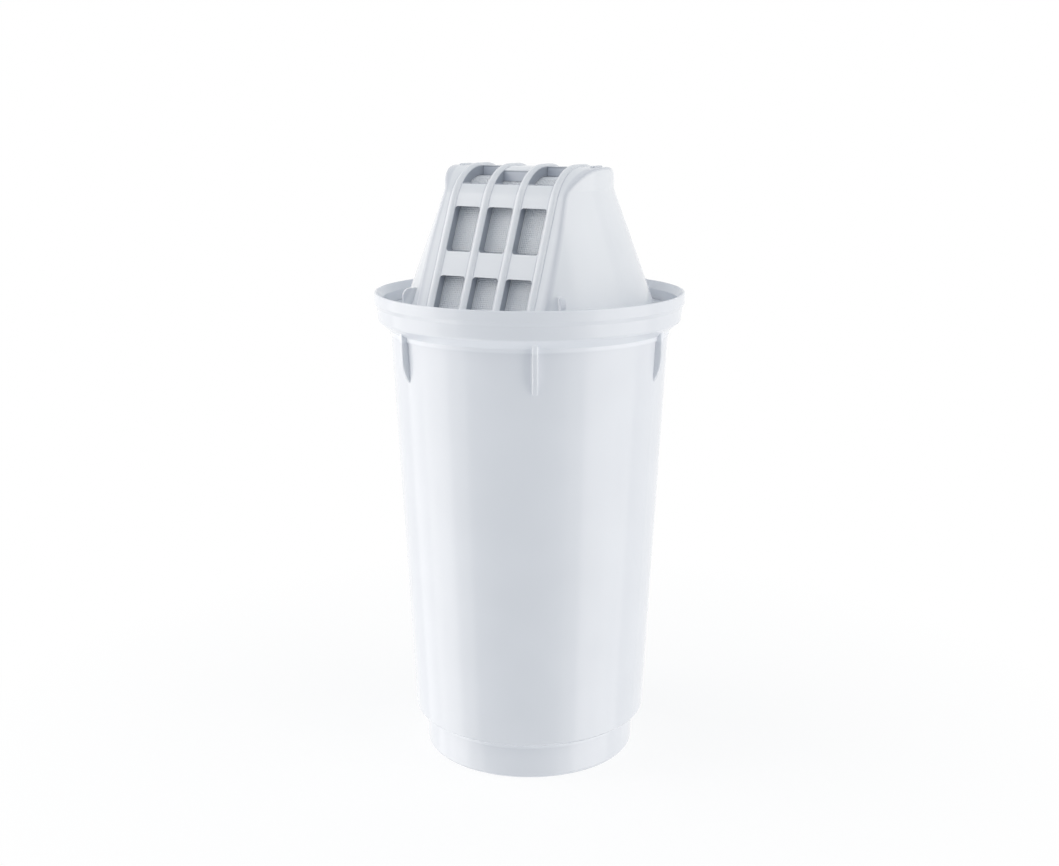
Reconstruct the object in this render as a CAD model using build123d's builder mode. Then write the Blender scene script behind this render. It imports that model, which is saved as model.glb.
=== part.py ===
from build123d import *
from math import atan2, cos, radians, sin, tan
import os

# Water pitcher filter cartridge, in millimetres, +Z up.
# The origin is the centre of the foot, and X runs along the ridge of the inlet hood.
# Depths are measured down from the top of the rim, rises up from it, and heights up from the foot.

# Cup: body and foot
cup_height = 119.4
cup_wall = 1.4
body_top_radius = 34.65
body_draft = 2.82
shoulder_height = 10.3
shoulder_round = 0.6
skirt_height = 8.9
skirt_inset = 2.65
skirt_draft = 0.15
foot_wall = 1.9
foot_round = 1.1
base_thickness = 1.5
base_recess = 1.5
edge_round = 0.4

# Cup: collar and lip
collar_overhang = 3.95
collar_depth = 6.9
collar_slope_depth = 2.3
collar_land_depth = 1.0
collar_land_step = 0.32
collar_wall = 1.3
collar_draft = 0.35
collar_round = 0.9
upper_band_depth = 2.6
band_step = 0.5
band_step_depth = 1.0
lip_land = 0.45
lip_flare_depth = 1.8

# Cup: fins under the collar
fin_count = 6
fin_thickness = 1.4
fin_stand = 1.65
fin_draft = 0.2
fin_length = 13.4
fin_straight_length = 7.6
fin_edge_round = 0.4

# Cup: outlet slots in the base
outer_slots = 16
inner_slots = 8
slot_width = 1.4
outer_slot_length = 8.0
inner_slot_length = 6.0
slot_edge_gap = 3.4
slot_ring_gap = 2.5

# Hood: cheeks, end walls and roof
hood_wall = 1.4
roof_wall = 2.4
well_width = 6.9
cheek_angle = 20.1
crease_drop = 5.31
crown_rise = 30.45
crown_half_flat = 1.96
roof_angle = 24.9
roof_setback = 5.44
roof_edge_round = 0.8

# Hood: flange and plug ring
well_depth = 4.4
flange_thickness = 1.5
flange_clearance = 0.2
plug_length = 6.1
plug_wall = 1.5
plug_clearance = 0.2

# Hood: ribs, windows and gussets
rib_pitch = 9.0
rib_count = 4
rib_width = 2.0
rib_height = 0.6
rib_round = 0.95
rib_root = 0.4
bead_inset = 2.7
bead_length = 5.0
bead_width = 1.6
bead_height = 0.35
bead_chamfer = 0.2
window_length = 11.5
window_bar = 6.1
window_round = 0.8
middle_row_drop = 9.25
sill_gap = 0.3
crown_bar = 2.1
crown_pad = 13.2
gusset_angle = 48.2
gusset_thickness = 1.2
gusset_reach = 2.8
gusset_rise = 1.8
gusset_round = 2.0

# Inner pieces
mesh_thickness = 0.35
mesh_margin = 0.7
felt_thickness = 2.5
outlet_mesh_thickness = 0.4
fit_clearance = 0.1

# A selector takes what lies further than this beyond a plane or an edge
select_margin = 0.01


def level(depth):
    "Height above the foot of a point at this depth below the rim."
    return cup_height - depth


# Cup sizes that follow from the values above
lip_radius = body_top_radius + collar_overhang
collar_bottom_radius = lip_radius - band_step - collar_draft
rim_bore_radius = lip_radius - band_step - collar_wall
land_top_depth = collar_depth + collar_slope_depth
body_top_depth = land_top_depth + collar_land_depth
ledge_depth = well_depth + flange_thickness


def body_radius(depth):
    "Outside radius of the tapered body."
    return body_top_radius - (depth - body_top_depth) * tan(radians(body_draft))


def bore_radius(depth):
    "Inside radius of the tapered body."
    return body_radius(depth) - cup_wall


shoulder_radius = body_radius(cup_height - shoulder_height)
skirt_radius = shoulder_radius - skirt_inset
skirt_bottom_radius = skirt_radius - skirt_draft
foot_bore_radius = skirt_bottom_radius - foot_wall
base_top_height = base_recess + base_thickness

# Inside of the foot, one wall thickness away from the outside
shoulder_lean = atan2(shoulder_height - skirt_height, skirt_inset)
inner_lift = cup_wall * (1 / cos(shoulder_lean) - tan(shoulder_lean))
skirt_bore_radius = skirt_radius - cup_wall
skirt_bore_height = skirt_height + inner_lift
inner_shoulder_height = shoulder_height + inner_lift
inner_shoulder_radius = bore_radius(cup_height - inner_shoulder_height)

# Fin under the collar: a blade that stands straight and then runs out in the body
fin_edge = body_top_radius + fin_stand
fin_straight_depth = collar_depth + fin_straight_length
fin_end_depth = collar_depth + fin_length
fin_root = bore_radius(fin_end_depth) + cup_wall / 2
with BuildPart() as fin:
    with BuildSketch(Plane.XZ):
        with BuildLine():
            Polyline(
                (fin_root, level(fin_end_depth)),
                (fin_root, level(collar_depth)),
                (fin_edge, level(collar_depth)),
                (fin_edge - fin_draft, level(fin_straight_depth)),
            )
            TangentArc(
                (fin_edge - fin_draft, level(fin_straight_depth)),
                (body_radius(fin_end_depth), level(fin_end_depth)),
                tangent=(-fin_draft, collar_depth - fin_straight_depth),
            )
            Line(
                (body_radius(fin_end_depth), level(fin_end_depth)),
                (fin_root, level(fin_end_depth)),
            )
        make_face()
    extrude(amount=fin_thickness / 2, both=True)
    blade_edges = fin.edges().filter_by(
        lambda edge: edge.center().X > fin_root + select_margin
        and abs(edge.center().Y) > fin_thickness / 2 - select_margin
        and edge.center().Z < level(collar_depth) - select_margin
    )
    fillet(blade_edges, fin_edge_round)

# Cup housing
cup_corners = [
    ((lip_radius, level(0)), edge_round / 2),
    ((lip_radius, level(upper_band_depth)), edge_round),
    ((lip_radius - band_step, level(upper_band_depth + band_step_depth)), edge_round),
    ((collar_bottom_radius, level(collar_depth)), collar_round),
    ((body_top_radius + collar_land_step, level(land_top_depth)), edge_round / 2),
    ((body_top_radius + collar_land_step, level(body_top_depth)), 0),
    ((body_top_radius, level(body_top_depth)), 0),
    ((shoulder_radius, shoulder_height), shoulder_round),
    ((skirt_radius, skirt_height), edge_round),
    ((skirt_bottom_radius, 0), foot_round),
    ((foot_bore_radius, 0), edge_round / 2),
    ((foot_bore_radius - edge_round, base_recess), edge_round),
    ((0, base_recess), 0),
    ((0, base_top_height), 0),
    ((skirt_bore_radius, base_top_height), 0),
    ((skirt_bore_radius, skirt_bore_height), 0),
    ((inner_shoulder_radius, inner_shoulder_height), 0),
    ((bore_radius(ledge_depth), level(ledge_depth)), 0),
    ((rim_bore_radius, level(ledge_depth)), 0),
    ((rim_bore_radius, level(lip_flare_depth)), edge_round),
    ((lip_radius - lip_land, level(0)), edge_round / 4),
]
outer_slot_circle = foot_bore_radius - slot_edge_gap - outer_slot_length / 2
inner_slot_circle = outer_slot_circle - outer_slot_length / 2 - slot_ring_gap - inner_slot_length / 2
with BuildPart() as cup_housing:
    with BuildSketch(Plane.XZ):
        with BuildLine():
            FilletPolyline(
                *[point for point, rounding in cup_corners],
                radius=[rounding for point, rounding in cup_corners],
                close=True,
            )
        make_face()
    revolve(axis=Axis.Z)
    with PolarLocations(0, fin_count):
        add(fin.part)
    with BuildSketch(Plane.XY):
        with PolarLocations(outer_slot_circle, outer_slots):
            SlotOverall(outer_slot_length, slot_width)
        with PolarLocations(inner_slot_circle, inner_slots):
            SlotOverall(inner_slot_length, slot_width)
    extrude(amount=base_top_height, mode=Mode.SUBTRACT)
cup_housing.part.label = "cup_housing"

# Hood sizes that follow from the values above
roof_lean = radians(roof_angle)
cheek_lean = tan(radians(cheek_angle))
cheek_inset = hood_wall / cos(radians(cheek_angle))
cheek_radius = rim_bore_radius - well_width
roof_foot = cheek_radius - roof_setback
crown_reach = roof_foot - crown_half_flat - crown_rise * tan(roof_lean)
crown_round = crown_reach / (1 / cos(roof_lean) - tan(roof_lean))
arch_centre_rise = crown_rise - crown_round
drum_radius = cheek_radius - (crown_rise - crease_drop) * cheek_lean
inner_drum_radius = drum_radius - hood_wall
flange_radius = rim_bore_radius - flange_clearance
plug_depth = ledge_depth + plug_length
plug_radius = bore_radius(plug_depth) - plug_clearance
middle_row_rise = crown_rise - middle_row_drop
window_width = rib_pitch - rib_width
rib_places = [(index - (rib_count - 1) / 2) * rib_pitch for index in range(rib_count)]
window_places = [place + rib_pitch / 2 for place in rib_places[:-1]]
bead_place = drum_radius - bead_inset


def cheek_at(depth, inset=0.0):
    "Radius of the conical cheek at a depth below the rim."
    return cheek_radius + depth * cheek_lean - inset


def drum_rise(inset_radius, drum):
    "Rise at which a cheek cone inset by this much meets the end wall."
    return (cheek_radius - inset_radius - drum) / cheek_lean


def arch_outline(bottom_depth, inset=0.0):
    "Closed outline of the roof: two leaning sides, two arcs and a flat crown, offset inward by inset."
    reach = crown_round - inset
    side = (crown_half_flat + reach * cos(roof_lean), level(-arch_centre_rise - reach * sin(roof_lean)))
    foot_y = side[0] + (side[1] - level(bottom_depth)) * tan(roof_lean)
    crown_z = level(-crown_rise + inset)
    middle = (radians(90) + roof_lean) / 2
    mid = (crown_half_flat + reach * cos(middle), level(-arch_centre_rise - reach * sin(middle)))
    with BuildLine() as outline:
        Line((foot_y, level(bottom_depth)), side)
        ThreePointArc(side, mid, (crown_half_flat, crown_z))
        Line((crown_half_flat, crown_z), (-crown_half_flat, crown_z))
        ThreePointArc((-crown_half_flat, crown_z), (-mid[0], mid[1]), (-side[0], side[1]))
        Line((-side[0], side[1]), (-foot_y, level(bottom_depth)))
        Line((-foot_y, level(bottom_depth)), (foot_y, level(bottom_depth)))
    return outline.line


# Hollow under the hood, open to the cup below
with BuildPart() as hood_hollow:
    with BuildSketch(Plane.XZ):
        with BuildLine():
            Polyline(
                (0, level(ledge_depth)),
                (cheek_at(ledge_depth, cheek_inset), level(ledge_depth)),
                (inner_drum_radius, level(-drum_rise(cheek_inset, inner_drum_radius))),
                (inner_drum_radius, level(-crown_rise)),
                (0, level(-crown_rise)),
                close=True,
            )
        make_face()
    revolve(axis=Axis.Z)
    with BuildSketch(Plane.YZ):
        add(arch_outline(ledge_depth, roof_wall))
        make_face()
    extrude(amount=lip_radius, both=True, mode=Mode.INTERSECT)

# One half-round rib over the roof
with BuildPart() as rib:
    with BuildSketch(Plane.YZ):
        add(arch_outline(well_depth, -rib_height))
        make_face()
    extrude(amount=rib_width / 2, both=True)
    outer_edges = rib.edges().filter_by(
        lambda edge: abs(edge.center().X) > rib_width / 2 - select_margin
        and edge.center().Z > level(well_depth) + select_margin
    )
    fillet(outer_edges, rib_round)
    with BuildSketch(Plane.YZ):
        add(arch_outline(well_depth, rib_root))
        make_face()
    extrude(amount=rib_width, both=True, mode=Mode.SUBTRACT)

# Short bead across the crown near each end
with BuildPart() as crown_bead:
    with BuildSketch(Plane.XY.offset(level(-crown_rise - bead_height))):
        SlotOverall(bead_length, bead_width, rotation=90)
    extrude(amount=-bead_height - hood_wall / 2)
    chamfer(crown_bead.faces().sort_by(Axis.Z)[-1].edges(), bead_chamfer)

# Inlet hood
with BuildPart() as inlet_hood:
    with BuildSketch(Plane.XZ):
        with BuildLine():
            Polyline(
                (0, level(ledge_depth)),
                (cheek_at(ledge_depth), level(ledge_depth)),
                (drum_radius, level(-drum_rise(0, drum_radius))),
                (drum_radius, level(-crown_rise - crown_round)),
                (0, level(-crown_rise - crown_round)),
                close=True,
            )
        make_face()
    revolve(axis=Axis.Z)
    with BuildSketch(Plane.YZ):
        add(arch_outline(ledge_depth))
        make_face()
    extrude(amount=lip_radius, both=True, mode=Mode.INTERSECT)
    cheek_edges = inlet_hood.edges().filter_by(
        lambda edge: abs(edge.center().X) > drum_radius / 2
        and edge.center().Z > level(ledge_depth) + select_margin
    )
    fillet(cheek_edges, roof_edge_round)
    # Gussets between the cheeks and the flange
    for angle in (gusset_angle, 180 - gusset_angle, 180 + gusset_angle, -gusset_angle):
        with BuildSketch(Plane.XZ.rotated((0, 0, angle))):
            with BuildLine():
                FilletPolyline(
                    (cheek_at(-gusset_rise, hood_wall / 2), level(-gusset_rise)),
                    (cheek_radius + gusset_reach, level(-gusset_rise)),
                    (cheek_radius + gusset_reach, level(well_depth)),
                    (cheek_at(well_depth, hood_wall / 2), level(well_depth)),
                    radius=[0, gusset_round, 0, 0],
                    close=True,
                )
            make_face()
        extrude(amount=gusset_thickness / 2, both=True)
    # Flange that closes the well, and the plug ring below it
    with BuildSketch(Plane.XY.offset(level(ledge_depth))):
        Circle(flange_radius)
    extrude(amount=flange_thickness)
    with BuildSketch(Plane.XY.offset(level(plug_depth))):
        Circle(plug_radius)
        Circle(plug_radius - plug_wall, mode=Mode.SUBTRACT)
    extrude(amount=plug_depth - ledge_depth)
    add(hood_hollow.part, mode=Mode.SUBTRACT)
    with Locations(*[(place, 0, 0) for place in rib_places]):
        add(rib.part)
    with Locations((bead_place, 0, 0), (-bead_place, 0, 0)):
        add(crown_bead.part)
    # Windows are cut straight through both roof sides
    middle_row_bottom = middle_row_rise - window_length * cos(roof_lean)
    lower_row_top = middle_row_bottom - window_bar * cos(roof_lean)
    arc_start_rise = arch_centre_rise + crown_round * sin(roof_lean)
    arc_turn = (window_bar - (arc_start_rise - middle_row_rise) / cos(roof_lean)) / crown_round
    crown_row_rise = arch_centre_rise + crown_round * sin(roof_lean + arc_turn)
    window_rows = [(middle_row_bottom, middle_row_rise), (-well_depth + sill_gap, lower_row_top)]
    for low, high in window_rows:
        with BuildSketch(Plane.XZ):
            with Locations(*[(place, level(-(low + high) / 2)) for place in window_places]):
                RectangleRounded(window_width, high - low, window_round)
        extrude(amount=lip_radius, both=True, mode=Mode.SUBTRACT)
    crown_row_top = crown_rise + 2 * rib_height
    for place in window_places:
        solid_half = (crown_pad if abs(place) < rib_pitch / 2 else crown_bar) / 2
        for side in (Plane.XZ.offset(solid_half), Plane.XZ.offset(-solid_half)):
            away = drum_radius if side.origin.Y < 0 else -drum_radius
            with BuildSketch(side):
                with Locations((place, level(-(crown_row_rise + crown_row_top) / 2))):
                    RectangleRounded(window_width, crown_row_top - crown_row_rise, window_round / 2)
            extrude(amount=away, mode=Mode.SUBTRACT)
inlet_hood.part.label = "inlet_hood"

# Inlet mesh, folded over inside the roof
mesh_width = rib_count * rib_pitch - rib_pitch + rib_width - 2 * mesh_margin
with BuildPart() as inlet_mesh:
    with BuildSketch(Plane.YZ):
        add(arch_outline(ledge_depth, roof_wall))
        make_face()
    extrude(amount=mesh_width / 2, both=True)
    with BuildSketch(Plane.YZ):
        add(arch_outline(ledge_depth, roof_wall + mesh_thickness))
        make_face()
    extrude(amount=mesh_width, both=True, mode=Mode.SUBTRACT)
inlet_mesh.part.label = "inlet_mesh"

# Felt disc under the plug ring
upper_felt_depth = plug_depth + felt_thickness
with BuildPart() as upper_felt:
    with BuildSketch(Plane.XY.offset(level(upper_felt_depth))):
        Circle(bore_radius(upper_felt_depth) - fit_clearance)
    extrude(amount=felt_thickness)
upper_felt.part.label = "upper_felt"

# Fine mesh over the outlet slots, and the felt disc on it
lower_felt_height = base_top_height + outlet_mesh_thickness
with BuildPart() as outlet_mesh:
    with BuildSketch(Plane.XY.offset(base_top_height)):
        Circle(skirt_bore_radius - fit_clearance)
    extrude(amount=outlet_mesh_thickness)
outlet_mesh.part.label = "outlet_mesh"

with BuildPart() as lower_felt:
    with BuildSketch(Plane.XY.offset(lower_felt_height)):
        Circle(skirt_bore_radius - fit_clearance)
    extrude(amount=felt_thickness)
lower_felt.part.label = "lower_felt"

# Granular bed between the two felts, packed against the cup
bed_height = lower_felt_height + felt_thickness
with BuildPart() as media_bed:
    with BuildSketch(Plane.XZ):
        with BuildLine():
            Polyline(
                (0, bed_height),
                (skirt_bore_radius - fit_clearance, bed_height),
                (skirt_bore_radius - fit_clearance, skirt_bore_height),
                (inner_shoulder_radius - fit_clearance, inner_shoulder_height),
                (bore_radius(upper_felt_depth) - fit_clearance, level(upper_felt_depth)),
                (0, level(upper_felt_depth)),
                close=True,
            )
        make_face()
    revolve(axis=Axis.Z)
media_bed.part.label = "media_bed"

os.makedirs("parts", exist_ok=True)
for piece in (cup_housing, inlet_hood, inlet_mesh, upper_felt, media_bed, lower_felt, outlet_mesh):
    export_step(piece.part, "parts/" + piece.part.label + ".step")
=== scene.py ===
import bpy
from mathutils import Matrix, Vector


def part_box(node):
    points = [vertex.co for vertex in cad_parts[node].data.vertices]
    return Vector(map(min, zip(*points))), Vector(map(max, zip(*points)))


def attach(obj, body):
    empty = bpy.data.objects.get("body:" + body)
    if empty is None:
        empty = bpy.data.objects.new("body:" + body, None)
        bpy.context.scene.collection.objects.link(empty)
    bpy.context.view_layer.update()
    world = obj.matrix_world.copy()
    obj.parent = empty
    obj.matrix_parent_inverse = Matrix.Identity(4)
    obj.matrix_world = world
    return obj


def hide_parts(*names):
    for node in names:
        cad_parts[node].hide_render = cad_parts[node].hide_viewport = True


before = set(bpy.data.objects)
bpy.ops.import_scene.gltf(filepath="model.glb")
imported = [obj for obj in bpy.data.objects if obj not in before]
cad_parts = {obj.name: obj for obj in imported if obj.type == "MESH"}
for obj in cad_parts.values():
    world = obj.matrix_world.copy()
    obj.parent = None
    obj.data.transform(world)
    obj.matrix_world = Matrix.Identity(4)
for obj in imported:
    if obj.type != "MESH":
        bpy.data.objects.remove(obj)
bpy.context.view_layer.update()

from math import ceil, cos, pi, radians, sin, sqrt, tan

import bpy
from mathutils import Vector, noise

MM = 0.001
UP = Vector((0.0, 0.0, 1.0))

# Places from the frame
rim_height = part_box("cup_housing")[1].z
mesh_low, mesh_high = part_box("inlet_mesh")

# Roof of the hood, as in the CAD source
ROOF_LEAN = radians(24.9)
CROWN_RISE = 30.45 * MM
CROWN_HALF_FLAT = 1.96 * MM
ROOF_FOOT = 24.46 * MM
ROOF_WALL = 2.4 * MM
WELL_DEPTH = 4.4 * MM
WINDOW_REACH = 12.55 * MM
CROWN_ROW_RISE = 26.37 * MM
RIB_PITCH = 9.0 * MM
RIB_HALF_WIDTH = 1.0 * MM
CHEEK_RADIUS = 29.9 * MM
CHEEK_LEAN = radians(20.1)
MESH_THICKNESS = 0.35 * MM
crown_reach = ROOF_FOOT - CROWN_HALF_FLAT - CROWN_RISE * tan(ROOF_LEAN)
crown_round = crown_reach / (1 / cos(ROOF_LEAN) - tan(ROOF_LEAN))
arch_centre = rim_height + CROWN_RISE - crown_round

# Inside of the cup's foot, as in the CAD source
SHOULDER_HEIGHT = 11.14 * MM
SHOULDER_STEP = 2.69 * MM
SKIRT_BORE_HEIGHT = 9.74 * MM

# Collar and foot of the cup, as in the CAD source: depths below the rim, and the heights of the ledge
COLLAR_DEPTH = 6.9 * MM
BODY_TOP_DEPTH = 10.2 * MM
FOOT_LEDGE = (8.2 * MM, 9.3 * MM)

# Woven inlet mesh: flat wires, over and under by half their thickness
WEAVE_PITCH = 0.5 * MM
WIRE_HALF_WIDTH = 0.18 * MM
WIRE_HALF_THICKNESS = 0.06 * MM
WIRE_SWING = 0.06 * MM

# Woven outlet mesh
FINE_PITCH = 0.6 * MM
FINE_HALF_WIDTH = 0.13 * MM
FINE_HALF_THICKNESS = 0.1 * MM
FINE_SWING = 0.1 * MM

# Skin of the felt discs: the nap is the height of its fibres, and three shares of it make the dents
FELT_STEP = 0.9 * MM
FELT_NAP = 0.16 * MM
FELT_TUFT = 1.3 * MM
FELT_UNEVEN = 9.0 * MM
FELT_MEAN_DENT = 0.5
FELT_TUFT_DENT = 0.3
FELT_UNEVEN_DENT = 0.2

# Skin of the granules: the slope says how steep the dents between them are
GRANULE_STEP = 0.7 * MM
GRANULE_SIZE = 1.8 * MM
GRANULE_DEPTH = 0.5 * MM
GRANULE_SLOPE = 1.8

# Camera, at the photograph's viewing angle; sensor and lens are in millimetres
CAMERA_AZIMUTH = 28.0
CAMERA_PITCH = 13.04
CAMERA_DISTANCE = 347.9 * MM
CAMERA_ABOVE_RIM = 43.8 * MM
CAMERA_SENSOR = 36.0
CAMERA_LENS = 47.44
CAMERA_CLIP = (0.01, 100.0)

# Light: a row of tall soft panels at each side, a high one at the front left and a soft surround
WHITE = (1.0, 1.0, 1.0)
SURROUND_COLOR = (0.84, 0.92, 1.0)
SURROUND_STRENGTH = 0.345
SURROUND_RISE = 0.3
PANEL_COLOR = (1.0, 0.95, 0.90)
PANEL_DISTANCE = 1.0
PANEL_HEIGHT = 2.4
# name: (start angle, end angle, radiance), with angles from the camera's side of the object
PANELS = {
    "left_front_panel": (-53.0, -71.0, 1.01),
    "left_panel": (-71.0, -85.0, 2.10),
    "left_edge_panel": (-85.0, -100.0, 1.78),
    "left_back_panel": (-100.0, -122.0, 0.93),
    "right_low_panel": (30.0, 47.0, 0.52),
    "right_front_panel": (47.0, 62.0, 1.71),
    "right_panel": (62.0, 80.0, 1.39),
    "right_edge_panel": (80.0, 97.0, 0.89),
}
HIGH_PANEL_TURN = -28.0
HIGH_PANEL_RISE = 60.0
HIGH_PANEL_SIZE = 1.0
HIGH_PANEL_RADIANCE = 0.14

# Floor: it shows the soft shadow near the foot and fades to white further out
FLOOR_SIZE = 6.0
FLOOR_COLOR = (0.22, 0.22, 0.22)
FLOOR_GLOW = 0.8
FLOOR_FADE = (45 * MM, 160 * MM)

# Noise: the range of values that it mostly fills
NOISE_RANGE = (0.3, 0.7)

# White plastic
HOUSING_TONES = ((0.79, 0.81, 0.85), (0.81, 0.83, 0.87))
HOOD_TONES = ((0.805, 0.825, 0.855), (0.825, 0.845, 0.875))
PLASTIC_ROUGHNESS = (0.13, 0.19)
PLASTIC_IOR = 1.5
WAVE_SIZE = 14 * MM
WAVE_DEPTH = 0.03 * MM
GRAIN_SIZE = 0.5 * MM
GRAIN_DEPTH = 0.002 * MM

# Painted shade on the hood. Each fade or band is a depth below the roof's face, except that RISE_FADE is
# a height above the rim, and that RIB_FADE and RIB_FOOT_BAND are distances beside a rib.
# Painted shade in the cut edges of the windows, and a lighter painted shade in those of the crown windows
REVEAL_SHADE_COLOR = (0.35, 0.38, 0.43)
REVEAL_FADE = (0.05 * MM, 0.25 * MM)
CROWN_REVEAL_SHADE_COLOR = (0.62, 0.65, 0.71)
CROWN_REVEAL_FADE = (0.3 * MM, 0.5 * MM)
CROWN_REVEAL_RISE_FADE = (CROWN_ROW_RISE - 1.0 * MM, CROWN_ROW_RISE)
CROWN_REVEAL_RIB_FADE = (0.05 * MM, 0.2 * MM)
# Painted shade lines along the roof's edge and at the feet of the ribs
LINE_SHADE_COLOR = (0.66, 0.68, 0.73)
CREASE_SHADE = 0.75
CREASE_FADE = (0.25 * MM, 0.8 * MM)
RIB_FOOT_BAND = (-0.05 * MM, 0.2 * MM)
RIB_FOOT_BLUR = 0.04 * MM
RIB_FOOT_DEPTH_BAND = (-0.2 * MM, 0.1 * MM)
RIB_FOOT_DEPTH_BLUR = 0.05 * MM

# Painted light on the slope under the collar and the ledge of the foot
LEDGE_LIGHT_COLOR = (0.88, 0.90, 0.94)
COLLAR_LEDGE_BLUR = 0.3 * MM
FOOT_LEDGE_BLUR = 0.2 * MM

# Threads of both meshes
INLET_THREAD_TONES = ((0.89, 0.91, 0.94), (0.93, 0.94, 0.96))
OUTLET_THREAD_TONES = ((0.70, 0.71, 0.72), (0.78, 0.79, 0.80))
THREAD_ROUGHNESS = (0.35, 0.5)
STREAK_SIZE = 0.9 * MM
DRAW_SIZE = 0.06 * MM
DRAW_DEPTH = 0.002 * MM

# Felt
FELT_TONES = ((0.70, 0.70, 0.67), (0.84, 0.84, 0.82))
FELT_TONE_RANGE = (0.35, 0.65)
FELT_ROUGHNESS = (0.8, 0.95)
FELT_SHEEN = 0.25
CLOUD_SIZE = 5 * MM
CLOUD_SHARE = 0.4
FIBRE_SIZE = 0.25 * MM
FIBRE_SHARE = 0.6
FIBRE_DEPTH = 0.12 * MM

# Granules: carbon, resin beads and gaps with painted shade, which reach in from a granule's edge by a
# share of its size
CARBON_TONES = ((0.012, 0.012, 0.013), (0.045, 0.045, 0.047))
RESIN_TONES = ((0.55, 0.42, 0.22), (0.74, 0.64, 0.44))
RESIN_SHARE = 0.35
# Painted shade in the gaps between the granules
GAP_SHADE_COLOR = (0.01, 0.009, 0.008)
GAP_REACH = 0.2
GAP_DEPTH = 0.4 * MM
GRANULE_ROUGHNESS = (0.45, 0.75)
GRIT_SIZE = 0.3 * MM
GRIT_DEPTH = 0.08 * MM


def add_camera():
    "The camera, which looks at the axis of the cartridge from the front right and a little above."
    data = bpy.data.cameras.new("camera")
    data.sensor_width = CAMERA_SENSOR
    data.lens = CAMERA_LENS
    data.clip_start, data.clip_end = CAMERA_CLIP
    camera = bpy.data.objects.new("camera", data)
    turn = radians(CAMERA_AZIMUTH)
    camera.location = (
        CAMERA_DISTANCE * sin(turn),
        -CAMERA_DISTANCE * cos(turn),
        rim_height + CAMERA_ABOVE_RIM,
    )
    camera.rotation_euler = (radians(90.0 - CAMERA_PITCH), 0.0, turn)
    bpy.context.scene.collection.objects.link(camera)
    bpy.context.scene.camera = camera


def add_panel(name, turn, rise, width, height, radiance):
    "A soft box that faces the cup, at two angles from the camera's side of the object: round it and up."
    data = bpy.data.lights.new(name, "AREA")
    data.color = PANEL_COLOR
    data.shape = "RECTANGLE"
    data.size = width
    data.size_y = height
    data.energy = radiance * pi * width * height
    panel = bpy.data.objects.new(name, data)
    azimuth = radians(CAMERA_AZIMUTH - 90.0 + turn)
    level = Vector((cos(azimuth), sin(azimuth), 0.0)) * cos(radians(rise))
    place = (level + UP * sin(radians(rise))) * PANEL_DISTANCE
    panel.location = place + UP * rim_height / 2
    panel.rotation_euler = (-place).to_track_quat("-Z", "Y").to_euler()
    panel.visible_camera = False
    bpy.context.scene.collection.objects.link(panel)


def add_panels():
    "The rows of panels at the two sides and the high one."
    for name, (start, end, radiance) in PANELS.items():
        width = 2 * PANEL_DISTANCE * tan(radians(abs(end - start) / 2))
        add_panel(name, (start + end) / 2, 0.0, width, PANEL_HEIGHT, radiance)
    size = HIGH_PANEL_SIZE
    add_panel("high_panel", HIGH_PANEL_TURN, HIGH_PANEL_RISE, size, size, HIGH_PANEL_RADIANCE)


def math_node(tree, operation, first, second=None):
    "One math node, whose inputs are sockets or numbers, and its output socket."
    node = tree.nodes.new("ShaderNodeMath")
    node.operation = operation
    for socket, value in zip(node.inputs, (first, second)):
        if isinstance(value, (int, float)):
            socket.default_value = value
        elif value is not None:
            tree.links.new(value, socket)
    return node.outputs[0]


def product_node(tree, first, *others):
    "The product of several sockets."
    for other in others:
        first = math_node(tree, "MULTIPLY", first, other)
    return first


def axes_node(tree, place):
    "The X, Y and Z of a place, as sockets by name."
    node = tree.nodes.new("ShaderNodeSeparateXYZ")
    tree.links.new(place, node.inputs[0])
    return node.outputs


def length_node(tree, first, second):
    "The length of a vector in a plane, from its two parts."
    squares = [math_node(tree, "MULTIPLY", part, part) for part in (first, second)]
    return math_node(tree, "SQRT", math_node(tree, "ADD", *squares))


def seen_directly(tree):
    "1 for camera, glossy and transmission rays, and 0 for the light that falls on things."
    path = tree.nodes.new("ShaderNodeLightPath")
    first = math_node(tree, "MAXIMUM", path.outputs["Is Camera Ray"], path.outputs["Is Glossy Ray"])
    return math_node(tree, "MAXIMUM", first, path.outputs["Is Transmission Ray"])


def mix_shaders(tree, factor, first, second):
    "A mix of two shaders, which is the second where the factor is 1."
    mix = tree.nodes.new("ShaderNodeMixShader")
    tree.links.new(factor, mix.inputs["Fac"])
    tree.links.new(first, mix.inputs[1])
    tree.links.new(second, mix.inputs[2])
    return mix.outputs[0]


def add_world():
    "The surround: white to the camera and in reflections, and a soft light that grows up and down."
    world = bpy.data.worlds.new("surround")
    world.use_nodes = True
    bpy.context.scene.world = world
    tree = world.node_tree
    tree.nodes.clear()
    output = tree.nodes.new("ShaderNodeOutputWorld")
    seen = tree.nodes.new("ShaderNodeBackground")
    seen.inputs["Color"].default_value = (*WHITE, 1.0)
    light = tree.nodes.new("ShaderNodeBackground")
    light.inputs["Color"].default_value = (*SURROUND_COLOR, 1.0)
    axes = axes_node(tree, tree.nodes.new("ShaderNodeTexCoord").outputs["Generated"])
    rise = math_node(tree, "MULTIPLY", math_node(tree, "ABSOLUTE", axes["Z"]), SURROUND_RISE)
    tree.links.new(math_node(tree, "ADD", rise, SURROUND_STRENGTH), light.inputs["Strength"])
    both = mix_shaders(tree, seen_directly(tree), light.outputs[0], seen.outputs[0])
    tree.links.new(both, output.inputs["Surface"])


def new_material(name):
    "A material with one principled shader, its node tree and the shader."
    material = bpy.data.materials.new(name)
    material.use_nodes = True
    tree = material.node_tree
    return material, tree, tree.nodes["Principled BSDF"]


def place_node(tree):
    "The object's own coordinates, in metres."
    return tree.nodes.new("ShaderNodeTexCoord").outputs["Object"]


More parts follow.
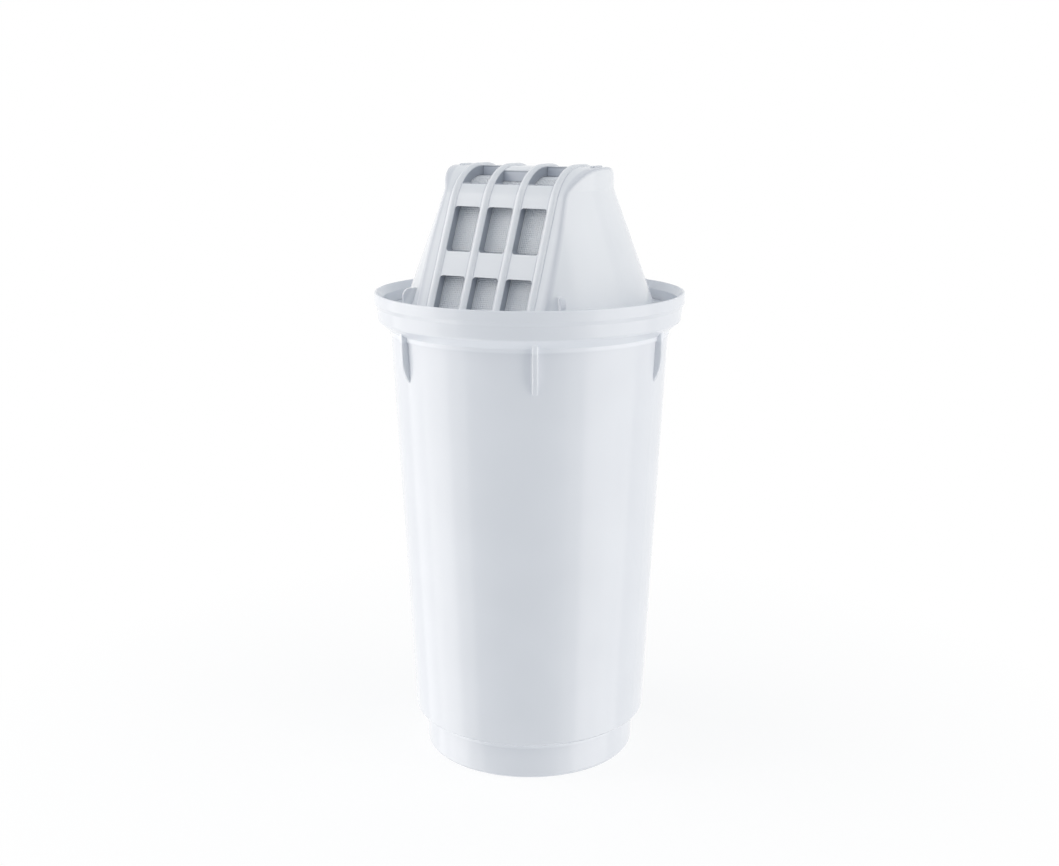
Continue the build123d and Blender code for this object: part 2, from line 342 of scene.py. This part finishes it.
def noise_node(tree, place, size, detail=2.0):
    "Noise whose blobs are about this large, in metres."
    node = tree.nodes.new("ShaderNodeTexNoise")
    node.inputs["Scale"].default_value = 1 / size
    node.inputs["Detail"].default_value = detail
    tree.links.new(place, node.inputs["Vector"])
    return node.outputs["Fac"]


def range_node(tree, value, low, high, to_low=0.0, to_high=1.0):
    "Maps a value from one range to another, and holds it there."
    node = tree.nodes.new("ShaderNodeMapRange")
    for socket, number in zip(node.inputs[1:5], (low, high, to_low, to_high)):
        socket.default_value = number
    tree.links.new(value, node.inputs[0])
    return node.outputs[0]


def band_node(tree, value, low, high, blur):
    "1 between two values and 0 outside them, with blurred edges."
    rising = range_node(tree, value, low - blur, low + blur)
    falling = range_node(tree, value, high - blur, high + blur, 1.0, 0.0)
    return math_node(tree, "MULTIPLY", rising, falling)


def color_node(tree, factor, low, high):
    "A colour between two others, each of which is a colour or a socket."
    node = tree.nodes.new("ShaderNodeMix")
    node.data_type = "RGBA"
    for socket, color in ((node.inputs["A"], low), (node.inputs["B"], high)):
        if isinstance(color, tuple):
            socket.default_value = (*color, 1.0)
        else:
            tree.links.new(color, socket)
    tree.links.new(factor, node.inputs["Factor"])
    return node.outputs["Result"]


def bump_node(tree, height, distance, normal=None):
    "A bump of this depth in metres."
    node = tree.nodes.new("ShaderNodeBump")
    node.inputs["Distance"].default_value = distance
    tree.links.new(height, node.inputs["Height"])
    if normal is not None:
        tree.links.new(normal, node.inputs["Normal"])
    return node.outputs["Normal"]


def plastic(name, tones):
    "White satin polypropylene: faint shrink waves, a fine mould grain and slightly uneven gloss."
    material, tree, shader = new_material(name)
    place = place_node(tree)
    waves = noise_node(tree, place, WAVE_SIZE, detail=1.0)
    grain = noise_node(tree, place, GRAIN_SIZE)
    tone = color_node(tree, range_node(tree, waves, *NOISE_RANGE), *tones)
    rough = range_node(tree, grain, *NOISE_RANGE, *PLASTIC_ROUGHNESS)
    tree.links.new(rough, shader.inputs["Roughness"])
    wavy = bump_node(tree, waves, WAVE_DEPTH)
    tree.links.new(bump_node(tree, grain, GRAIN_DEPTH, wavy), shader.inputs["Normal"])
    shader.inputs["IOR"].default_value = PLASTIC_IOR
    return material, tree, shader, place, tone


def roof_depth(tree, axes):
    "How deep a point lies below the face of the roof: below its flat, its arcs or its leaning sides."
    aside = math_node(tree, "SUBTRACT", math_node(tree, "ABSOLUTE", axes["Y"]), CROWN_HALF_FLAT)
    aside = math_node(tree, "MAXIMUM", aside, 0.0)
    rise = math_node(tree, "SUBTRACT", axes["Z"], arch_centre)
    arc = length_node(tree, aside, rise)
    side = math_node(tree, "MULTIPLY", aside, cos(ROOF_LEAN))
    side = math_node(tree, "ADD", side, math_node(tree, "MULTIPLY", rise, sin(ROOF_LEAN)))
    on_arc = math_node(tree, "GREATER_THAN", rise, math_node(tree, "MULTIPLY", aside, tan(ROOF_LEAN)))
    reach = math_node(tree, "MULTIPLY", on_arc, math_node(tree, "SUBTRACT", arc, side))
    return math_node(tree, "SUBTRACT", crown_round, math_node(tree, "ADD", side, reach))


def cheek_depth(tree, axes):
    "How deep a point lies below the cone of the cheeks, measured level."
    rise = math_node(tree, "SUBTRACT", axes["Z"], rim_height)
    taper = math_node(tree, "MULTIPLY", rise, tan(CHEEK_LEAN))
    cone = math_node(tree, "SUBTRACT", CHEEK_RADIUS, taper)
    return math_node(tree, "SUBTRACT", cone, length_node(tree, axes["X"], axes["Y"]))


def beside_rib(tree, axes):
    "How far a point lies beside the nearest rib. The ribs stand at half a pitch and at one and a half."
    from_column = math_node(tree, "SUBTRACT", math_node(tree, "ABSOLUTE", axes["X"]), RIB_PITCH)
    from_rib = math_node(tree, "SUBTRACT", math_node(tree, "ABSOLUTE", from_column), RIB_PITCH / 2)
    return math_node(tree, "SUBTRACT", math_node(tree, "ABSOLUTE", from_rib), RIB_HALF_WIDTH)


def window_shade(tree, axes, depth):
    """1 on the cut edges of the windows, below the face of the roof, where shade is painted."""
    return product_node(
        tree,
        range_node(tree, depth, *REVEAL_FADE),
        math_node(tree, "LESS_THAN", depth, ROOF_WALL + MESH_THICKNESS),
        math_node(tree, "LESS_THAN", math_node(tree, "ABSOLUTE", axes["X"]), WINDOW_REACH),
        math_node(tree, "GREATER_THAN", axes["Z"], rim_height - WELL_DEPTH),
    )


def crown_shade(tree, axes, depth, beside):
    """1 on the cut edges of the crown windows, between the ribs, where a lighter shade is painted."""
    rise = math_node(tree, "SUBTRACT", axes["Z"], rim_height)
    return product_node(
        tree,
        range_node(tree, rise, *CROWN_REVEAL_RISE_FADE),
        range_node(tree, depth, *CROWN_REVEAL_FADE),
        range_node(tree, beside, *CROWN_REVEAL_RIB_FADE),
    )


def hood_line_shade(tree, axes, depth, beside):
    "The strength of the grey lines along the roof's edge and at the feet of the ribs."
    edge = math_node(tree, "MAXIMUM", depth, cheek_depth(tree, axes))
    crease = range_node(tree, edge, *CREASE_FADE, CREASE_SHADE, 0.0)
    foot = product_node(
        tree,
        band_node(tree, beside, *RIB_FOOT_BAND, RIB_FOOT_BLUR),
        band_node(tree, depth, *RIB_FOOT_DEPTH_BAND, RIB_FOOT_DEPTH_BLUR),
    )
    return math_node(tree, "MAXIMUM", crease, foot)


def hood_plastic():
    "The white plastic, greyer in the window edges, at the feet of the ribs and along the roof's edge."
    material, tree, shader, place, tone = plastic("hood_plastic", HOOD_TONES)
    axes = axes_node(tree, place)
    depth = roof_depth(tree, axes)
    beside = beside_rib(tree, axes)
    # Painted shade lines along the roof's edge and at the feet of the ribs
    tone = color_node(tree, hood_line_shade(tree, axes, depth, beside), tone, LINE_SHADE_COLOR)
    crown = crown_shade(tree, axes, depth, beside)
    reveal = color_node(tree, crown, REVEAL_SHADE_COLOR, CROWN_REVEAL_SHADE_COLOR)
    # Painted shade in the window edges, lighter in the crown windows
    tone = color_node(tree, window_shade(tree, axes, depth), tone, reveal)
    tree.links.new(tone, shader.inputs["Base Color"])
    return material


def ledge_light_mask(tree, axes):
    """1 on the slope under the collar and on the ledge of the foot, where light is painted."""
    depth = math_node(tree, "SUBTRACT", rim_height, axes["Z"])
    under_collar = band_node(tree, depth, COLLAR_DEPTH, BODY_TOP_DEPTH, COLLAR_LEDGE_BLUR)
    foot = band_node(tree, axes["Z"], *FOOT_LEDGE, FOOT_LEDGE_BLUR)
    return math_node(tree, "MAXIMUM", under_collar, foot)


def housing_plastic():
    """The white plastic, with light painted on the ledges of collar and foot."""
    material, tree, shader, place, tone = plastic("housing_plastic", HOUSING_TONES)
    ledges = ledge_light_mask(tree, axes_node(tree, place))
    # Painted light on the ledges of collar and foot
    tree.links.new(color_node(tree, ledges, tone, LEDGE_LIGHT_COLOR), shader.inputs["Base Color"])
    return material


def threads(name, tones):
    "Smooth monofilament, slightly uneven in tone and gloss."
    material, tree, shader = new_material(name)
    place = place_node(tree)
    streak = noise_node(tree, place, STREAK_SIZE, detail=1.0)
    tone = color_node(tree, range_node(tree, streak, *NOISE_RANGE), *tones)
    tree.links.new(tone, shader.inputs["Base Color"])
    rough = range_node(tree, streak, *NOISE_RANGE, *THREAD_ROUGHNESS)
    tree.links.new(rough, shader.inputs["Roughness"])
    draw = noise_node(tree, place, DRAW_SIZE, detail=1.0)
    tree.links.new(bump_node(tree, draw, DRAW_DEPTH), shader.inputs["Normal"])
    return material


def felt_fibres():
    "Needled polypropylene felt: tangled white fibres, soft and matt."
    material, tree, shader = new_material("felt_fibres")
    place = place_node(tree)
    cloud = noise_node(tree, place, CLOUD_SIZE)
    fibre = noise_node(tree, place, FIBRE_SIZE, detail=4.0)
    cloud_part = math_node(tree, "MULTIPLY", cloud, CLOUD_SHARE)
    fibre_part = math_node(tree, "MULTIPLY", fibre, FIBRE_SHARE)
    both = math_node(tree, "ADD", cloud_part, fibre_part)
    tone = color_node(tree, range_node(tree, both, *FELT_TONE_RANGE), *FELT_TONES)
    tree.links.new(tone, shader.inputs["Base Color"])
    rough = range_node(tree, fibre, *NOISE_RANGE, *FELT_ROUGHNESS)
    tree.links.new(rough, shader.inputs["Roughness"])
    tree.links.new(bump_node(tree, fibre, FIBRE_DEPTH), shader.inputs["Normal"])
    shader.inputs["Sheen Weight"].default_value = FELT_SHEEN
    return material


def cells_node(tree, place, size, feature):
    "Cells of about this size in metres: their colours, or how far a point lies from their edges."
    node = tree.nodes.new("ShaderNodeTexVoronoi")
    node.feature = feature
    node.inputs["Scale"].default_value = 1 / size
    tree.links.new(place, node.inputs["Vector"])
    return node.outputs


def granules():
    """Black carbon granules with honey-coloured resin beads among them, and shade painted in the gaps
    between them.
    """
    material, tree, shader = new_material("granules")
    place = place_node(tree)
    pick = tree.nodes.new("ShaderNodeSeparateColor")
    tree.links.new(cells_node(tree, place, GRANULE_SIZE, "F1")["Color"], pick.inputs[0])
    edge = cells_node(tree, place, GRANULE_SIZE, "DISTANCE_TO_EDGE")["Distance"]
    crown = range_node(tree, edge, 0.0, GAP_REACH)
    grit = noise_node(tree, place, GRIT_SIZE, detail=3.0)
    carbon = color_node(tree, grit, *CARBON_TONES)
    resin = color_node(tree, pick.outputs["Green"], *RESIN_TONES)
    is_resin = math_node(tree, "LESS_THAN", pick.outputs["Red"], RESIN_SHARE)
    # Painted shade in the gaps between the granules
    tone = color_node(tree, crown, GAP_SHADE_COLOR, color_node(tree, is_resin, carbon, resin))
    tree.links.new(tone, shader.inputs["Base Color"])
    rough = range_node(tree, pick.outputs["Blue"], 0.0, 1.0, *GRANULE_ROUGHNESS)
    tree.links.new(rough, shader.inputs["Roughness"])
    gritty = bump_node(tree, grit, GRIT_DEPTH)
    tree.links.new(bump_node(tree, crown, GAP_DEPTH, gritty), shader.inputs["Normal"])
    return material


def build_mesh(name, points, faces, material, node, smooth=True):
    "A piece that replaces a CAD node, rides with the cartridge and has one material."
    data = bpy.data.meshes.new(name)
    data.from_pydata([tuple(point) for point in points], [], faces)
    data.update()
    data.polygons.foreach_set("use_smooth", [smooth] * len(data.polygons))
    data.materials.append(material)
    piece = bpy.data.objects.new(name, data)
    bpy.context.scene.collection.objects.link(piece)
    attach(piece, "root")
    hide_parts(node)
    return piece


def add_wire(points, faces, line, outs, across, half_thickness, half_width):
    "A closed four-sided wire through the points of a line, with an outward direction at each point."
    start = len(points)
    for place, out in zip(line, outs):
        thick = out * half_thickness
        wide = across * half_width
        points.extend((place + thick, place + wide, place - thick, place - wide))
    for step in range(len(line) - 1):
        low = start + 4 * step
        for corner in range(4):
            following = (corner + 1) % 4
            faces.append((low + corner, low + following, low + 4 + following, low + 4 + corner))
    faces.append((start + 3, start + 2, start + 1, start))
    end = start + 4 * (len(line) - 1)
    faces.append((end, end + 1, end + 2, end + 3))


def arch_path(inset, bottom, step):
    "Points over the roof at an inset, front to back, with the outward direction at each, and the length."
    reach = crown_round - inset
    side = (arch_centre + reach * sin(ROOF_LEAN) - bottom) / cos(ROOF_LEAN)
    arc = reach * (pi / 2 - ROOF_LEAN)
    total = 2 * (side + arc + CROWN_HALF_FLAT)
    count = int(total / step)
    path = []
    for index in range(count + 1):
        run = total * index / count
        half = 1 if run > total / 2 else -1
        run = min(run, total - run)
        turn = ROOF_LEAN + min(max(run - side, 0.0) / reach, pi / 2 - ROOF_LEAN)
        left = max(side - run, 0.0)
        past = max(run - side - arc, 0.0)
        y = CROWN_HALF_FLAT + reach * cos(turn) + left * sin(ROOF_LEAN) - past
        z = arch_centre + reach * sin(turn) - left * cos(ROOF_LEAN)
        path.append((Vector((0.0, half * y, z)), Vector((0.0, half * cos(turn), sin(turn)))))
    return path, total


def woven_roof(material):
    "The inlet mesh, woven from flat wires and folded over inside the roof."
    path, length = arch_path(ROOF_WALL + MESH_THICKNESS / 2, mesh_low.z, WEAVE_PITCH)
    width = mesh_high.x - mesh_low.x - 2 * WIRE_HALF_WIDTH
    columns = int(width / WEAVE_PITCH)
    places = [Vector((width * (index / columns - 0.5), 0.0, 0.0)) for index in range(columns + 1)]
    across = Vector((1.0, 0.0, 0.0))
    size = (WIRE_HALF_THICKNESS, WIRE_HALF_WIDTH)
    points, faces = [], []
    for row, (middle, out) in enumerate(path):
        swings = [WIRE_SWING if (row + column) % 2 else -WIRE_SWING for column in range(columns + 1)]
        line = [middle + place + out * swing for place, swing in zip(places, swings)]
        add_wire(points, faces, line, [out] * len(line), out.cross(across), *size)
    outs = [out for middle, out in path]
    for column, place in enumerate(places):
        swings = [-WIRE_SWING if (row + column) % 2 else WIRE_SWING for row in range(len(path))]
        line = [middle + place + out * swing for (middle, out), swing in zip(path, swings)]
        add_wire(points, faces, line, outs, across, *size)
    piece = build_mesh(
        "woven_inlet_mesh", points, faces, material, "inlet_mesh", smooth=False
    )


def chord_line(radius, row, phase, along, across, centre):
    "The points of one wire of a woven disc, which runs from edge to edge, over and under the others."
    start = centre + across * (row * FINE_PITCH)
    half_chord = sqrt(radius ** 2 - (row * FINE_PITCH) ** 2)
    reach = int(half_chord / FINE_PITCH)
    line = [start - along * half_chord]
    for column in range(-reach, reach + 1):
        swing = FINE_SWING if (row + column + phase) % 2 else -FINE_SWING
        line.append(start + along * (column * FINE_PITCH) + UP * swing)
    line.append(start + along * half_chord)
    return line


def woven_disc(material):
    "The outlet mesh, a woven disc that lies over the slots."
    low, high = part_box("outlet_mesh")
    radius = high.x - FINE_HALF_WIDTH
    centre = UP * (low.z + high.z) / 2
    size = (FINE_HALF_THICKNESS, FINE_HALF_WIDTH)
    count = int(radius / FINE_PITCH)
    points, faces = [], []
    for along, across, phase in (
        (Vector((1.0, 0.0, 0.0)), Vector((0.0, 1.0, 0.0)), 0),
        (Vector((0.0, 1.0, 0.0)), Vector((1.0, 0.0, 0.0)), 1),
    ):
        for row in range(-count, count + 1):
            line = chord_line(radius, row, phase, along, across, centre)
            add_wire(points, faces, line, [UP] * len(line), across, *size)
    piece = build_mesh(
        "woven_outlet_mesh", points, faces, material, "outlet_mesh", smooth=False
    )


def profile_stations(corners, step):
    "Points along a profile of (radius, height) corners, with the inward direction at each."
    stations = []
    for (radius, height), (next_radius, next_height) in zip(corners, corners[1:]):
        run = Vector((next_radius - radius, next_height - height))
        inward = Vector((-run.y, run.x)).normalized()
        count = ceil(run.length / step)
        for index in range(count):
            place = Vector((radius, height)) + run * (index / count)
            stations.append((place.x, place.y, inward))
    stations.append((*corners[-1], inward))
    return stations


def revolved(corners, step, dent):
    "Points and faces of a closed solid of revolution, whose skin is pressed in by dent(point)."
    stations = profile_stations(corners, step)
    sectors = ceil(2 * pi * max(radius for radius, height in corners) / step)
    points, faces = [], []
    for radius, height, inward in stations[1:-1]:
        for sector in range(sectors):
            turn = 2 * pi * sector / sectors
            outward = Vector((cos(turn), sin(turn), 0.0))
            point = outward * radius + UP * height
            points.append(point + (outward * inward.x + UP * inward.y) * dent(point))
    rings = len(stations) - 2
    for ring in range(rings - 1):
        for sector in range(sectors):
            here = ring * sectors + sector
            beside = ring * sectors + (sector + 1) % sectors
            faces.append((here, beside, beside + sectors, here + sectors))
    for ring, (radius, height, inward) in ((0, stations[0]), (rings - 1, stations[-1])):
        centre = UP * height
        points.append(centre + UP * inward.y * dent(centre))
        for sector in range(sectors):
            edge = (ring * sectors + sector, ring * sectors + (sector + 1) % sectors)
            if ring == 0:
                edge = edge[::-1]
            faces.append((*edge, len(points) - 1))
    return points, faces


def felt_dent(point):
    "How far the felt's skin lies below its highest fibres."
    tuft = FELT_TUFT_DENT * noise.noise(point / FELT_TUFT)
    uneven = FELT_UNEVEN_DENT * noise.noise(point / FELT_UNEVEN)
    return FELT_NAP * (FELT_MEAN_DENT + tuft + uneven)


def felt_disc(name, node, material):
    "A felt disc in the space of its node, which lies on the piece under it."
    low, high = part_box(node)
    radius = high.x
    corners = [(0.0, low.z), (radius, low.z), (radius, high.z), (0.0, high.z)]
    points, faces = revolved(corners, FELT_STEP, felt_dent)
    piece = build_mesh(name, points, faces, material, node)


def granule_dent(point):
    "Deep between the granules and nothing at their middles."
    near, following = noise.voronoi(point / GRANULE_SIZE)[0][:2]
    gap = min(max(1.0 - GRANULE_SLOPE * (following - near), 0.0), 1.0)
    return GRANULE_DEPTH * gap ** 2


def granular_bed(material):
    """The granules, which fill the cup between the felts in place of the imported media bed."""
    low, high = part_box("media_bed")
    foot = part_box("lower_felt")[1].x
    corners = [
        (0.0, low.z),
        (foot, low.z),
        (foot, SKIRT_BORE_HEIGHT),
        (foot + SHOULDER_STEP, SHOULDER_HEIGHT),
        (high.x, high.z),
        (0.0, high.z),
    ]
    points, faces = revolved(corners, GRANULE_STEP, granule_dent)
    build_mesh("granular_bed", points, faces, material, "media_bed")


def floor_material():
    "A pale floor with a glow that only the camera and reflections see, so that it looks white."
    material, tree, shader = new_material("floor")
    tree.nodes.remove(shader)
    diffuse = tree.nodes.new("ShaderNodeBsdfDiffuse")
    diffuse.inputs["Color"].default_value = (*FLOOR_COLOR, 1.0)
    seen = seen_directly(tree)
    near_glow = tree.nodes.new("ShaderNodeEmission")
    tree.links.new(math_node(tree, "MULTIPLY", seen, FLOOR_GLOW), near_glow.inputs["Strength"])
    far_glow = tree.nodes.new("ShaderNodeEmission")
    tree.links.new(seen, far_glow.inputs["Strength"])
    near = tree.nodes.new("ShaderNodeAddShader")
    tree.links.new(diffuse.outputs[0], near.inputs[0])
    tree.links.new(near_glow.outputs[0], near.inputs[1])
    axes = axes_node(tree, place_node(tree))
    fade = range_node(tree, length_node(tree, axes["X"], axes["Y"]), *FLOOR_FADE)
    both = mix_shaders(tree, fade, near.outputs[0], far_glow.outputs[0])
    tree.links.new(both, tree.nodes["Material Output"].inputs["Surface"])
    return material


def add_floor():
    "The floor, which shows the soft shadow of the cartridge and sends no light back to it."
    bpy.ops.mesh.primitive_plane_add(size=FLOOR_SIZE)
    floor = bpy.context.object
    floor.name = "floor"
    floor.data.materials.append(floor_material())
    floor.visible_diffuse = False
    floor.visible_glossy = False
    floor.visible_shadow = False


def dress(node, material):
    "Gives a CAD node its material."
    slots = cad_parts[node].data.materials
    slots.clear()
    slots.append(material)


add_camera()
add_world()
add_panels()
add_floor()

dress("cup_housing", housing_plastic())
dress("inlet_hood", hood_plastic())
woven_roof(threads("inlet_threads", INLET_THREAD_TONES))
woven_disc(threads("outlet_threads", OUTLET_THREAD_TONES))
fibres = felt_fibres()
felt_disc("needled_lower_felt", "lower_felt", fibres)
granular_bed(granules())
felt_disc("needled_upper_felt", "upper_felt", fibres)

bpy.context.scene.view_settings.view_transform = "Standard"
